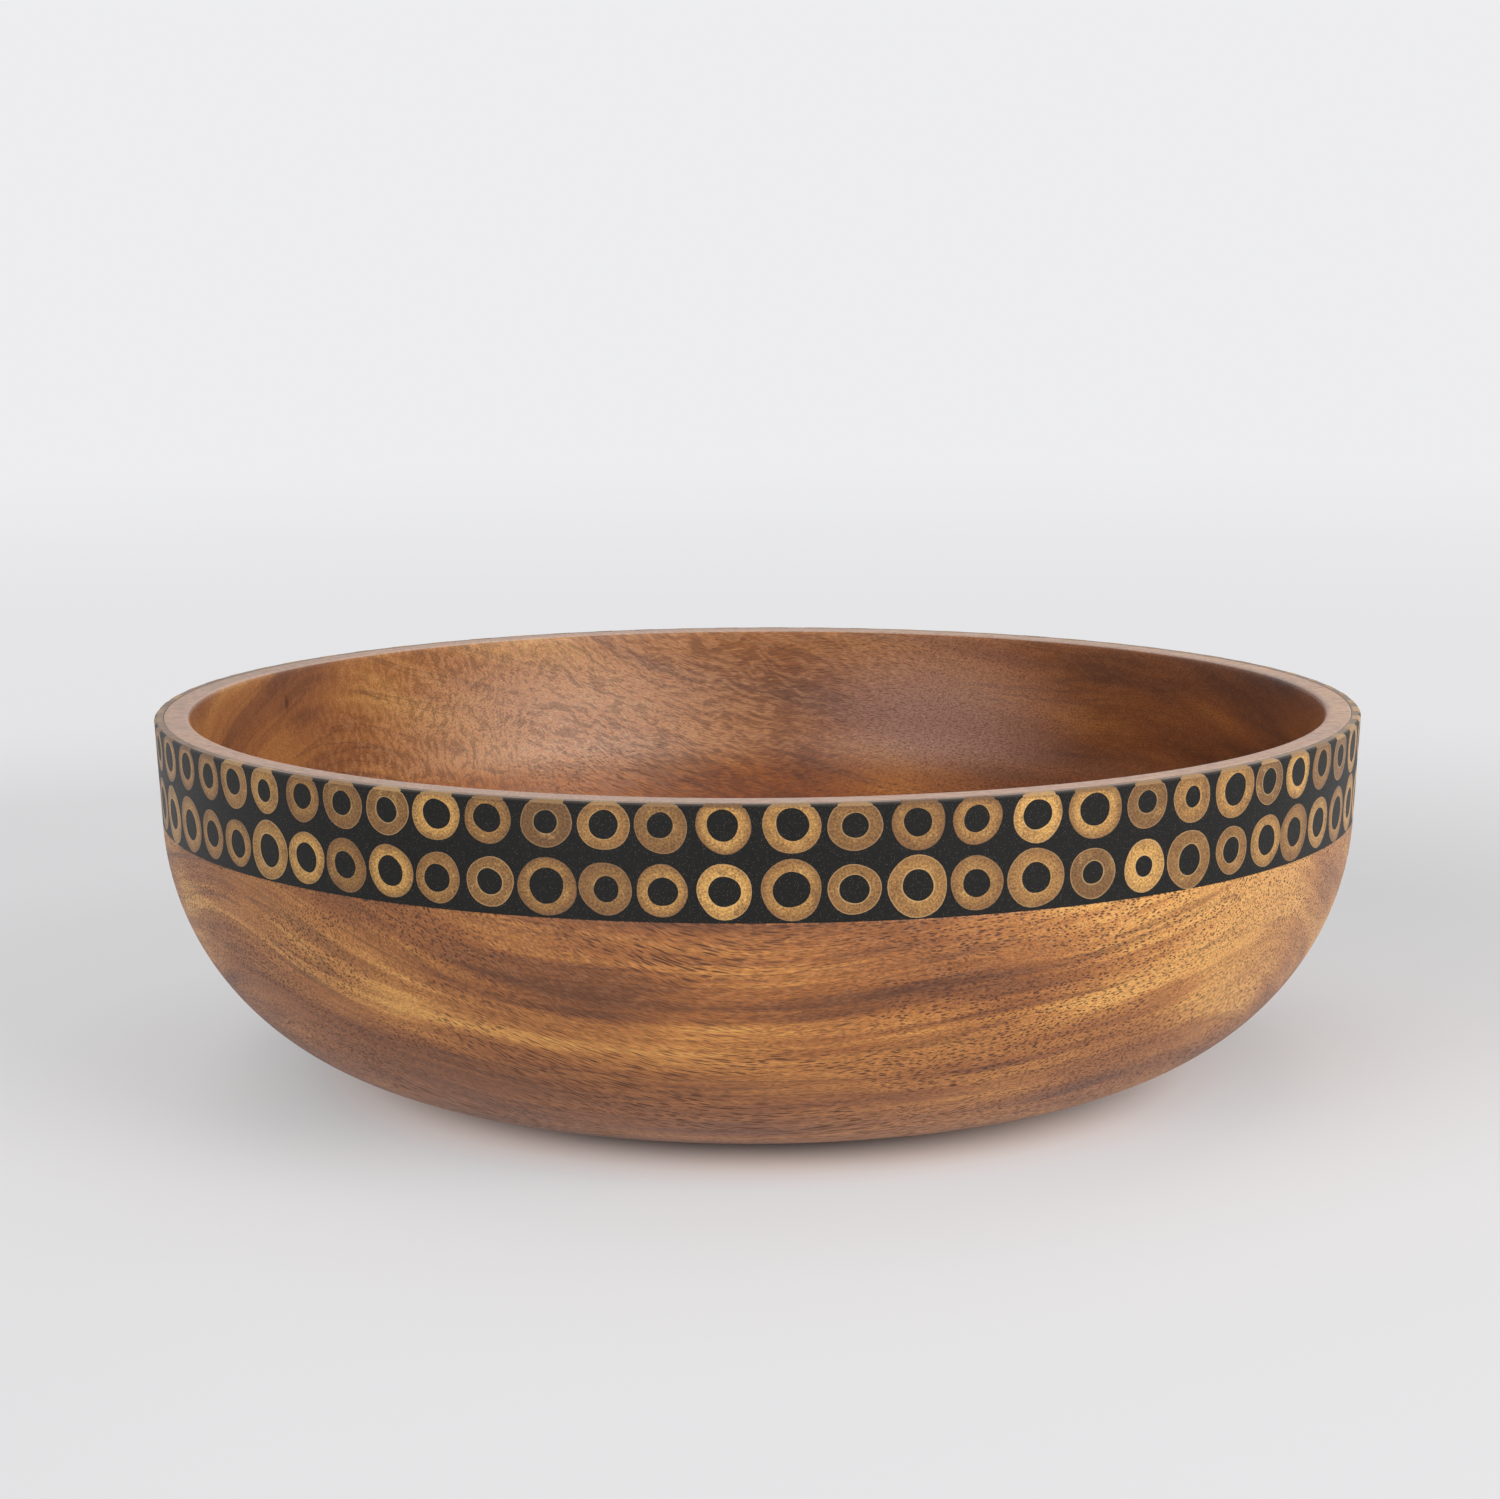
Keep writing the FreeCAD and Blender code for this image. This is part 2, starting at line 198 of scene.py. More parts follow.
class Finish:
    """A material under construction. Each call adds one node and gives back what it puts out."""

    def __init__(self, name):
        self.material = bpy.data.materials.new(name)
        self.material.use_nodes = True
        self.tree = self.material.node_tree
        self.tree.nodes.clear()

    def add(self, kind, inputs=(), **settings):
        """Add a node. inputs maps a socket's name or number to a value or to another node's output."""
        item = self.tree.nodes.new(kind)
        for name, value in settings.items():
            setattr(item, name, value)
        for key, value in dict(inputs).items():
            socket = item.inputs[key]
            if isinstance(value, bpy.types.NodeSocket):
                self.tree.links.new(value, socket)
            else:
                socket.default_value = value
        return item

    def sum(self, kind, *values):
        """One step of arithmetic on numbers."""
        return self.add("ShaderNodeMath", enumerate(values), operation=kind).outputs[0]

    def vector(self, kind, *values):
        """One step of arithmetic on vectors."""
        return self.add("ShaderNodeVectorMath", enumerate(values), operation=kind).outputs[0]

    def length(self, value):
        """The length of a vector."""
        return self.add("ShaderNodeVectorMath", {0: value}, operation="LENGTH").outputs["Value"]

    def distance(self, place, middle, stretch):
        """How far a place is from a middle, with each direction counted stretch times."""
        return self.length(self.vector("MULTIPLY", self.vector("SUBTRACT", place, middle), stretch))

    def mix(self, amount, start, end):
        """Mix two numbers."""
        return self.add("ShaderNodeMix", {0: amount, 2: start, 3: end}).outputs[0]

    def place(self):
        """The point being shaded, in millimetres."""
        point = self.add("ShaderNodeTexCoord").outputs["Object"]
        return self.vector("MULTIPLY", point, (1000, 1000, 1000))

    def split(self, value):
        """The three parts of a vector."""
        return self.add("ShaderNodeSeparateXYZ", {0: value}).outputs[:]

    def value(self, name):
        """A number that the piece stores for each of its points."""
        return self.add("ShaderNodeAttribute", attribute_name=name).outputs["Fac"]

    def noise(self, place, scale, detail=2.0, roughness=0.5):
        """Soft noise from 0 to 1, with scale in features per millimetre along x, y and z."""
        stretched = self.vector("MULTIPLY", place, scale)
        inputs = {"Vector": stretched, "Scale": 1.0, "Detail": detail, "Roughness": roughness}
        return self.add("ShaderNodeTexNoise", inputs).outputs["Fac"]

    def drift(self, place, scale, reach):
        """A slow wandering of places, with reach in millimetres along x, y and z."""
        stretched = self.vector("MULTIPLY", place, scale)
        cloud = self.add("ShaderNodeTexNoise", {"Vector": stretched, "Scale": 1.0, "Detail": 1.0})
        centred = self.vector("SUBTRACT", cloud.outputs["Color"], (0.5, 0.5, 0.5))
        return self.vector("ADD", place, self.vector("MULTIPLY", centred, reach))

    def cells(self, place, size):
        """The distance to the nearest of many scattered points, with the cells' size in millimetres."""
        stretched = self.vector("DIVIDE", place, size)
        return self.add("ShaderNodeTexVoronoi", {"Vector": stretched, "Scale": 1.0}).outputs["Distance"]

    def between(self, value, low, high, out_low=0.0, out_high=1.0):
        """Map a number smoothly from one range to another, and hold it at the ends."""
        inputs = {0: value, 1: low, 2: high, 3: out_low, 4: out_high}
        return self.add("ShaderNodeMapRange", inputs, interpolation_type="SMOOTHSTEP").outputs[0]

    def blend(self, amount, start, end, kind="MIX"):
        """Mix two colours."""
        inputs = {0: amount, 6: start, 7: end}
        return self.add("ShaderNodeMix", inputs, data_type="RGBA", blend_type=kind).outputs[2]

    def ramp(self, value, stops):
        """A colour ramp with a list of (position, colour)."""
        item = self.add("ShaderNodeValToRGB", {0: value})
        points = item.color_ramp.elements
        while len(points) < len(stops):
            points.new(0.5)
        for point, (position, shade) in zip(points, stops):
            point.position = position
            point.color = shade
        return item.outputs[0]

    def close(self, shade, roughness, relief, depth, gloss):
        """Close the material. The relief is depth metres deep, and gloss is the specular level."""
        bump = self.add("ShaderNodeBump", {"Height": relief, "Distance": depth, "Strength": 1.0})
        shader = self.add("ShaderNodeBsdfPrincipled", {
            "Base Color": shade, "Roughness": roughness, "Normal": bump.outputs[0],
            "Specular IOR Level": gloss,
        })
        self.add("ShaderNodeOutputMaterial", {"Surface": shader.outputs[0]})
        return self.material


# From the darkest layers to the palest.
WOOD_SHADES = [
    (0.0, colour(84, 47, 28)),
    (0.22, colour(122, 73, 41)),
    (0.5, colour(162, 100, 52)),
    (0.78, colour(196, 131, 67)),
    (1.0, colour(228, 170, 92)),
]
DARK_SEAM = colour(96, 54, 34)
PALE_RIGHT_LIGHT = colour(214, 172, 136)
PALE_PATCH = colour(236, 191, 156)
DARK_RIPPLE = colour(104, 66, 44)
PALE_RIPPLE = colour(226, 172, 124)
PAINTED_SHEEN = colour(194, 152, 137)
DARK_FIBRE = colour(92, 86, 82)
PALE_FIBRE = colour(228, 230, 232)
OPEN_PORE = colour(78, 42, 26)
PAINTED_WALL_SHEEN = colour(112, 74, 56)
WARM_PAINTED_SHADE = colour(220, 187, 122)
KNOT_BARK = colour(70, 38, 22)
SANDED_RIM_AND_SHEEN = colour(218, 192, 176)
CREPT_RESIN = colour(50, 38, 34)

# Patterns, in features per millimetre along x, y and z.
BROAD_LAYERS = (0.006, 0.010, 0.05)
FINE_LAYERS = (0.010, 0.022, 0.38)
SEAMS = (0.004, 0.008, 0.13)
UPRIGHT_RIPPLE = (0.56, 0.56, 0.38)
LYING_RIPPLE = (0.16, 0.36, 0.72)
FIBRES = (0.45, 2.8, 2.8)
PORE_CROWDS = (0.02, 0.05, 0.09)
RAGGED_EDGE = (1.2, 1.2, 1.2)

# Sizes and places, in millimetres.
WIDE_PORE = (9.0, 0.62, 0.62)
NARROW_PORE = (3.0, 0.42, 0.42)
FIGURED_PATCH = (-54, 130, 71)
SHEEN_SPOT = (54, 130, 70)
KNOT = (-129, 61, 87)
KNOT_SIZE = (1.6, 1.6, 3.4)
RIM_TOP = RIM_HEIGHT * 1000
BAND_LEDGE = BAND_FOOT * 1000

# Paler and darker spots, partly the wood's own tone and partly painted light and shade: the middle and the
# reach in millimetres, and how much the tone rises.
TONE_AND_LIGHT_SPOTS = [
    ((104, -107, 56), 46, 0.31),
    ((129, -72, 43), 30, 0.30),
    ((115, -87, 41), 20, 0.22),
    ((105, -101, 42), 20, 0.14),
    ((136, -64, 60), 26, -0.40),
    ((94, -99, 30), 22, -0.16),
    ((-95, -90, 25), 22, -0.16),
    ((28, -148, 65), 20, -0.12),
    ((-35, -142, 46), 20, -0.09),
    ((0, -121, 15), 20, -0.14),
    ((75, -127, 48), 25, 0.24),
    ((78, -111, 28), 34, -0.30),
    ((31, -128, 25), 38, -0.18),
    ((44, -145, 63), 44, -0.16),
    ((30, -143, 46), 22, 0.18),
    ((-2, -149, 56), 38, 0.13),
    ((-79, -129, 71), 24, 0.16),
    ((-79, -125, 50), 24, 0.12),
    ((-34, -126, 25), 30, 0.12),
    ((-138, -58, 58), 28, 0.22),
    ((-118, 78, 86), 26, -0.12),
    ((-126, 67, 90), 22, -0.34),
    ((13, 143, 90), 34, -0.14),
    ((-102, 99, 70), 26, 0.10),
    ((43, 132, 50), 32, 0.52),
    ((66, 124, 72), 20, 0.20),
    ((-46, 131, 52), 20, -0.06),
    ((13, 138, 51), 18, -0.14),
]


def layer_places(wood, here, bent, inside):
    """Places in which the growth layers lie level, in millimetres.

    Up becomes up + slope - dish + crown. The dish grows with the square of the way across, so the
    layers sag towards the middle in front. The slope grows with across times back, so they fall to
    the right at the back. The crown is highest along the middle of the floor, which so shows the
    layers as long arches.
    """
    across, back, up = wood.split(bent)
    height = wood.split(here)[2]
    dish = wood.sum("MULTIPLY", across, across)
    dish = wood.sum("MULTIPLY", dish, wood.between(across, -150, 150, 0.0012, 0.0006))
    dish = wood.sum("ADD", dish, wood.between(across, 0, 150, 0, 10))
    slope = wood.sum("MULTIPLY", across, wood.between(inside, 0, 1, 0.0005, 0.0012))
    slope = wood.sum("MULTIPLY", slope, wood.sum("ADD", back, 140))
    floor = wood.sum("MULTIPLY", inside, wood.between(height, 42, 14))
    crown = wood.between(wood.sum("ABSOLUTE", back), 104, 0, 0, wood.between(floor, 0, 1, 26, 70))
    steady = wood.mix(wood.sum("MULTIPLY", floor, 0.6), up, height)
    level = wood.sum("ADD", wood.sum("SUBTRACT", wood.sum("ADD", steady, slope), dish), crown)
    return wood.add("ShaderNodeCombineXYZ", {0: across, 1: back, 2: level}).outputs[0]


def layer_shade(wood, here, bent, layered, inside):
    """The colour of the growth layers: broad and fine ones, painted light and shade on the right, spots that
    are partly painted light, and seams.
    """
    across = wood.split(bent)[0]
    height = wood.split(here)[2]
    outside = wood.sum("SUBTRACT", 1.0, inside)

    # Towards the right end, cut across the grain, the layers show less.
    plain = wood.between(across, 80, 128, 1, 0.3)
    broad = wood.noise(layered, BROAD_LAYERS, 3.0, 0.55)
    fine = wood.noise(layered, FINE_LAYERS, 3.0, 0.65)
    fine_share = wood.sum("MULTIPLY", wood.between(inside, 0, 1, 0.34, 0.16), plain)
    tone = wood.between(wood.mix(fine_share, broad, fine), wood.between(inside, 0, 1, 0.27, 0.20), 0.72)

    # Painted light and shade: outside, the wood is paler towards the right, where the light falls; inside, it
    # is darker towards the right wall, which is in shade, and a little paler on the left.
    painted_light_right = wood.between(across, 0, 140, 0, 0.24)
    painted_light_right = wood.sum("MULTIPLY", painted_light_right, wood.between(height, 16, 46, -0.2, 1.0))
    painted_shade_right = wood.between(across, -100, 120, 0.07, -0.26)
    tone = wood.sum("ADD", tone, wood.mix(inside, painted_light_right, painted_shade_right))
    for spot, reach, rise in TONE_AND_LIGHT_SPOTS:
        away = wood.length(wood.vector("SUBTRACT", here, spot))
        tone = wood.sum("ADD", tone, wood.between(away, reach, 0, 0, rise))
    shade = wood.ramp(tone, WOOD_SHADES)
    # Painted light: the far right of the outside is paler still, where the light falls.
    ends = wood.sum("MULTIPLY", wood.between(across, 90, 140, 0, 0.2), outside)
    shade = wood.blend(ends, shade, PALE_RIGHT_LIGHT)

    # Now and then a layer is thin and dark.
    seam = wood.noise(layered, SEAMS, 2.0, 0.5)
    seam = wood.sum("ABSOLUTE", wood.sum("SUBTRACT", seam, 0.56))
    seam = wood.sum("MULTIPLY", wood.between(seam, 0.022, 0.0, 0, 0.45), plain)
    return wood.blend(seam, shade, DARK_SEAM)


def ripple_shade(wood, shade, here, bent, layered):
    """Short light and dark ripples, strong in one pale patch of the inside, with a painted sheen beside it.

    The ripples stand upright at the patch's left end and lie level further on.
    """
    across, _, up = wood.split(bent)
    height = wood.split(here)[2]
    curled = wood.drift(layered, (0.09, 0.09, 0.09), (8, 8, 8))
    upright = wood.noise(curled, UPRIGHT_RIPPLE, 3.0, 0.6)
    lying = wood.noise(curled, LYING_RIPPLE, 2.0, 0.6)
    figure = wood.mix(wood.between(across, -85, -50), upright, lying)

    distance = wood.distance(here, FIGURED_PATCH, (0.75, 0.9, 1.9))
    strength = wood.between(distance, 92, 36, 0.18, 1.0)
    strength = wood.sum("MULTIPLY", strength, wood.between(up, 46, 62, 0.45, 1.0))
    pale = wood.between(distance, 60, 0, 0, 0.95)
    pale = wood.sum("MULTIPLY", pale, wood.between(height, 48, 64, 0.5, 1.0))
    shade = wood.blend(pale, shade, PALE_PATCH)
    troughs = wood.sum("MULTIPLY", strength, wood.between(figure, 0.53, 0.40, 0, 0.40))
    shade = wood.blend(troughs, shade, DARK_RIPPLE)
    crests = wood.sum("MULTIPLY", strength, wood.between(figure, 0.48, 0.60, 0, 0.40))
    shade = wood.blend(crests, shade, PALE_RIPPLE)

    # A painted sheen: a greyish pale spot where light is reflected on the inner back wall.
    distance = wood.distance(here, SHEEN_SPOT, (0.75, 1, 1.5))
    return wood.blend(wood.between(distance, 46, 4, 0, 0.8), shade, PAINTED_SHEEN)


def fibres_and_pores(wood, bent, inside):
    """Fibres as noise, and how open the pores are.

    The surface cuts the pores to dashes where it follows them and to dots elsewhere. On the left
    they lean further than the layers do.
    """
    across = wood.split(bent)[0]
    lean = wood.add("ShaderNodeCombineXYZ", {2: wood.between(across, -95, 5, -30, 0)}).outputs[0]
    wavy = wood.drift(wood.vector("ADD", bent, lean), (0.07, 0.05, 0.05), (0, 2.4, 2.4))
    fibre = wood.noise(wavy, FIBRES, 2.0, 0.65)
    crowding = wood.noise(bent, PORE_CROWDS, 2.0)
    crowding = wood.sum("ADD", crowding, wood.between(across, 0, 90, 0, 0.12))
    wide = wood.between(wood.cells(wavy, WIDE_PORE), 0.42, 0.24)
    narrow = wood.between(wood.cells(wavy, NARROW_PORE), 0.42, 0.2)
    wide = wood.sum("MULTIPLY", wide, wood.between(crowding, 0.36, 0.58, 0.2, 1.0))
    pores = wood.sum("MAXIMUM", wide, wood.sum("MULTIPLY", narrow, 0.6))
    return fibre, wood.sum("MULTIPLY", pores, wood.between(inside, 0, 1, 0.9, 0.42))


def painted_sheen_and_shade(wood, shade, here, bent, inside):
    """Painted light inside: a grey painted sheen on the upper wall, less on the right, and a warm painted
    shade low in the bowl and on the right wall.
    """
    across = wood.split(bent)[0]
    height = wood.split(here)[2]
    wall_sheen = wood.sum("MULTIPLY", inside, wood.between(height, 48, 72, 0.05, 0.24))
    wall_sheen = wood.sum("MULTIPLY", wall_sheen, wood.between(across, 30, 120, 1.0, 0.3))
    # A painted sheen: the upper inner wall greyed, as by reflected light.
    shade = wood.blend(wall_sheen, shade, PAINTED_WALL_SHEEN)
    # Painted shade: darker and warmer low in the hollow and on the right wall, which lies in shade.
    painted_shade = wood.sum("MULTIPLY", wood.between(height, 63, 53), wood.between(height, 20, 40, 0.25, 1.0))
    painted_shade = wood.sum("MAXIMUM", painted_shade, wood.between(across, 70, 130, 0, 0.45))
    painted_shade = wood.sum("MULTIPLY", inside, painted_shade)
    return wood.blend(painted_shade, shade, WARM_PAINTED_SHADE, "MULTIPLY")


def rim_shade(wood, shade, here, inside, threads):
    """The flat top pale, partly sanded bare and partly a painted sheen, and the resin crept into the fibres
    under the band.
    """
    height = wood.split(here)[2]
    top = wood.between(height, RIM_TOP - 0.5, RIM_TOP - 0.1)
    # The flat top: sanded bare wood, and a painted sheen where the light grazes it.
    shade = wood.blend(wood.sum("MULTIPLY", top, 0.7), shade, SANDED_RIM_AND_SHEEN)
    shade = wood.blend(wood.sum("MULTIPLY", top, 0.45), shade, threads, "OVERLAY")
    wander = wood.between(wood.noise(here, RAGGED_EDGE, 3.0), 0.3, 0.7, -0.45, 0.35)
    creep = wood.between(wood.sum("ADD", height, wander), BAND_LEDGE - 0.12, BAND_LEDGE + 0.08)
    creep = wood.sum("MULTIPLY", creep, wood.sum("SUBTRACT", 1.0, inside))
    creep = wood.sum("MULTIPLY", creep, wood.sum("SUBTRACT", 1.0, top))
    return wood.blend(wood.sum("MULTIPLY", creep, 0.68), shade, CREPT_RESIN), top


def oiled_wood():
    """Brown hardwood in the round: layers nearly level, fibres and long pores running along X."""
    wood = Finish("oiled_wood")
    here = wood.place()
    inside = wood.value("inside")
    bent = wood.drift(here, (0.008, 0.016, 0.02), (0, 18, 18))
    layered = layer_places(wood, here, bent, inside)
    shade = layer_shade(wood, here, bent, layered, inside)
    shade = ripple_shade(wood, shade, here, bent, layered)
    fibre, pores = fibres_and_pores(wood, bent, inside)
    threads = wood.ramp(fibre, [(0.3, DARK_FIBRE), (0.7, PALE_FIBRE)])
    shade = wood.blend(0.5, shade, threads, "OVERLAY")
    shade = wood.blend(pores, shade, OPEN_PORE)
    shade = painted_sheen_and_shade(wood, shade, here, bent, inside)

    # A pin knot under the rim.
    beside = wood.length(wood.vector("DIVIDE", wood.vector("SUBTRACT", here, KNOT), KNOT_SIZE))
    shade = wood.blend(wood.between(beside, 1.0, 0.3, 0, 0.75), shade, KNOT_BARK)
    shade, top = rim_shade(wood, shade, here, inside, threads)

    roughness = wood.between(pores, 0, 0.8, 0.42, 0.7)
    roughness = wood.sum("ADD", roughness, wood.sum("MULTIPLY", top, 0.2))
    relief = wood.sum("SUBTRACT", wood.sum("MULTIPLY", fibre, 0.25), pores)
    return wood.close(shade, roughness, relief, depth=0.00006, gloss=0.45)


turn_bowl(oiled_wood())

# ---- The resin band ----
# Black casting resin poured round the slices in the rebate and sanded down with them. Between the
# slices it lies a hair lower than they do, and its top outer edge is broken by a small chamfer.

RESIN_RELIEF = 0.00004
BAND_CHAMFER = 0.0006
CHAMFER_FOOT = RIM_TOP - BAND_CHAMFER * 1000
BLACK_RESIN = colour(5, 5, 4)
CLOUDY_RESIN = colour(22, 20, 18)
PALE_DUST = colour(132, 122, 108)
SANDED_RESIN_AND_SHEEN = colour(142, 130, 120)
FLAT_RESIN_AND_SHEEN = colour(164, 140, 122)
DUST_SPACING = (0.52, 0.52, 0.52)


def band_section():
    """The band's section, anticlockwise: ledge, wall, chamfer, top and back."""
    low, high = BAND_FOOT + RESIN_RELIEF, RIM_HEIGHT - RESIN_RELIEF
    crest = wall_radius(high - BAND_CHAMFER, RESIN_RELIEF)
    corners = [
        (wall_radius(low, REBATE_DEPTH) + RESIN_RELIEF, low),
        (wall_radius(low, RESIN_RELIEF), low),
        (crest, high - BAND_CHAMFER),
        (crest - BAND_CHAMFER, high),
        (wall_radius(high, REBATE_DEPTH) + RESIN_RELIEF, high),
    ]
    counts = (3, 20, 4, 4, 8)
    return np.vstack([straight(corners[k], corners[(k + 1) % 5], counts[k]) for k in range(5)])


def black_resin():
    """Near-black resin with pale dust in it, dull from sanding, and paler on the chamfer and where it was cut
    level, partly from sanding dust and partly a painted sheen.
    """
    resin = Finish("black_resin")
    here = resin.place()
    cloud = resin.noise(here, (0.8, 0.8, 0.8), 4.0, 0.8)
    shade = resin.ramp(cloud, [(0.3, BLACK_RESIN), (0.7, CLOUDY_RESIN)])
    dust = resin.between(resin.cells(here, DUST_SPACING), 0.25, 0.08)
    shade = resin.blend(resin.sum("MULTIPLY", dust, 0.36), shade, PALE_DUST)
    height = resin.split(here)[2]
    # Paler on the chamfer and the flat top: sanding dust, and a painted sheen where the light grazes them.
    shade = resin.blend(resin.between(height, CHAMFER_FOOT, RIM_TOP, 0, 0.3), shade, SANDED_RESIN_AND_SHEEN)
    shade = resin.blend(resin.between(height, RIM_TOP - 0.1, RIM_TOP - 0.05, 0, 0.68), shade, FLAT_RESIN_AND_SHEEN)
    grain = resin.noise(here, (5, 5, 5), 2.0)
    roughness = resin.between(grain, 0.3, 0.7, 0.42, 0.6)
    return resin.close(shade, roughness, grain, depth=0.00002, gloss=0.24)


def cast_band():
    """The band's closed surface, a section turned about Z that closes on itself."""
    grid, faces = turned_grid(band_section(), BOWL_STEPS)
    points, quads = grid.reshape(-1, 3), faces.reshape(-1, 4)
    new_piece("resin_band_cast", points, quads, black_resin(), "black_resin", "resin_band")


cast_band()

# ---- The bamboo slices ----
# Rings sawn from thin hollow canes, laid on end in two rows and sanded flush with the wall. Each is
# a little oval and uneven, and the upper ones are cut flat where the rim was turned down.

SLICE_STEPS = 28
SLICE_THICKNESS = 0.002
SKIN_EDGE = 0.00003
SLICE_SHIFT = 0.0002
BORE_SHIFT = 0.00025
EDGE_WAVES = np.array([2, 3, 5])[:, None]
WAVE_SIZES = np.array([0.030, 0.013, 0.008])[:, None]
PATTERN_STEP = 0.02

# How pale the slices of each cane are, 0 to 1, and how much single slices differ from that.
CANE_TONES = {
    "a": 0.45, "b": 0.50, "c": 0.70, "d": 0.92, "e": 0.05, "f": 0.50,
    "g": 0.22, "h": 0.55, "i": 0.45, "j": 0.40, "k": 0.85, "l": 0.80,
}
TONE_SPREAD = 0.12
CANE_SHADES = [(0.0, colour(112, 80, 46)), (0.5, colour(160, 118, 66)), (1.0, colour(204, 158, 90))]
BROWN_SMUDGE = colour(106, 72, 42)
PALE_SMUDGE = colour(208, 168, 106)
OUTER_CANE = colour(112, 76, 46)
FIBRE_STIPPLE = [(0.34, colour(64, 54, 44)), (0.66, colour(250, 246, 238))]
FIBRE_END = colour(96, 64, 38)
DARK_SKIN = colour(92, 64, 42)
PALE_SKIN = colour(206, 168, 118)
PALE_PITH = colour(220, 186, 132)
chance = np.random.default_rng(7)


def solids_of(node):
    """The separate solids of a CAD node, as one array of points each.

    Points in one place share a label, and every triangle gives its lowest label to its corners,
    until nothing changes.
    """
    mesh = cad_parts[node].data
    points = np.empty(len(mesh.vertices) * 3)
    mesh.vertices.foreach_get("co", points)
    points = points.reshape(-1, 3)
    mesh.calc_loop_triangles()
    triangles = np.empty(len(mesh.loop_triangles) * 3, dtype=np.int32)
    mesh.loop_triangles.foreach_get("vertices", triangles)
    same = np.unique(np.round(points, 6), axis=0, return_inverse=True)[1].reshape(-1)
    triangles = same[triangles.reshape(-1, 3)]
    label = np.arange(same.max() + 1)
    while True:
        lowest = label.copy()
        np.minimum.at(lowest, triangles, label[triangles].min(axis=1)[:, None])
        if np.array_equal(lowest, label):
            break
        label = lowest
    return [points[label[same] == value] for value in np.unique(label)]


def ring_of(points):
    """Where a slice is and how large: azimuth and height of its middle, outer radius and bore radius.

    Along the wall a slice reaches its outer radius to both sides. Down the wall it reaches that far
    too, also where its top is cut off.
    """
    azimuth = np.arctan2(points[:, 1], points[:, 0])
    middle = np.angle(np.exp(1j * azimuth).mean())
    turn = np.angle(np.exp(1j * (azimuth - middle)))
    middle += (turn.max() + turn.min()) / 2
    front = np.hypot(points[:, 0], points[:, 1]) > wall_radius(points[:, 2], SLICE_THICKNESS / 4)
    along = np.angle(np.exp(1j * (azimuth - middle)))[front] * wall_radius(points[front, 2])
    outer = np.abs(along).max()
    height = points[front, 2].min() + outer
    bore = np.hypot(along, points[front, 2] - height).min()
    return middle, height, outer, bore


def uneven(angle):
    """A factor close to 1 round an edge: 1 + the sum of size x cos(wave x angle + a random start)."""
    start = chance.uniform(0, 2 * np.pi, (len(EDGE_WAVES), 1))
    return 1 + (WAVE_SIZES * np.cos(EDGE_WAVES * angle + start)).sum(axis=0)


def slice_grid(middle, height, outer, bore):
    """The surface of one slice as a grid of points, SLICE_STEPS round by five loops.

    The loops are the bore's back and front edge, the face's outer edge, the same edge worn back a
    hair, and the outer back edge. A point lies at a distance and an angle from the middle, measured
    on the unrolled wall. Both edges are uneven, and the bore is a little off centre. The face ends
    at the foot of the chamfer, and everything ends at the rim.
    """
    angle = 2 * np.pi * np.arange(SLICE_STEPS) / SLICE_STEPS
    inner_edge, outer_edge = bore * uneven(angle), outer * uneven(angle)
    shift = chance.uniform(-SLICE_SHIFT, SLICE_SHIFT, 2)
    off_centre = chance.uniform(-BORE_SHIFT, BORE_SHIFT, 2)[:, None] * np.array([1, 1, 0, 0, 0])
    distance = np.array([inner_edge, inner_edge, outer_edge, outer_edge, outer_edge])
    along = distance * np.cos(angle) + shift[0] + off_centre[0][:, None]
    level = height + distance * np.sin(angle) + shift[1] + off_centre[1][:, None]
    level = np.clip(level, BAND_FOOT + RESIN_RELIEF, RIM_HEIGHT)
    level[1:3] = np.minimum(level[1:3], RIM_HEIGHT - BAND_CHAMFER)
    worn = np.array([SLICE_THICKNESS, 0, 0, SKIN_EDGE, SLICE_THICKNESS])[:, None]
    chamfered = np.clip(level - (RIM_HEIGHT - BAND_CHAMFER), 0, BAND_CHAMFER)
    radius = wall_radius(level) - np.maximum(worn, chamfered)
    azimuth = middle + along / wall_radius(height)
    grid = np.stack([radius * np.cos(azimuth), radius * np.sin(azimuth), level], axis=2)
    return grid, along, level - height


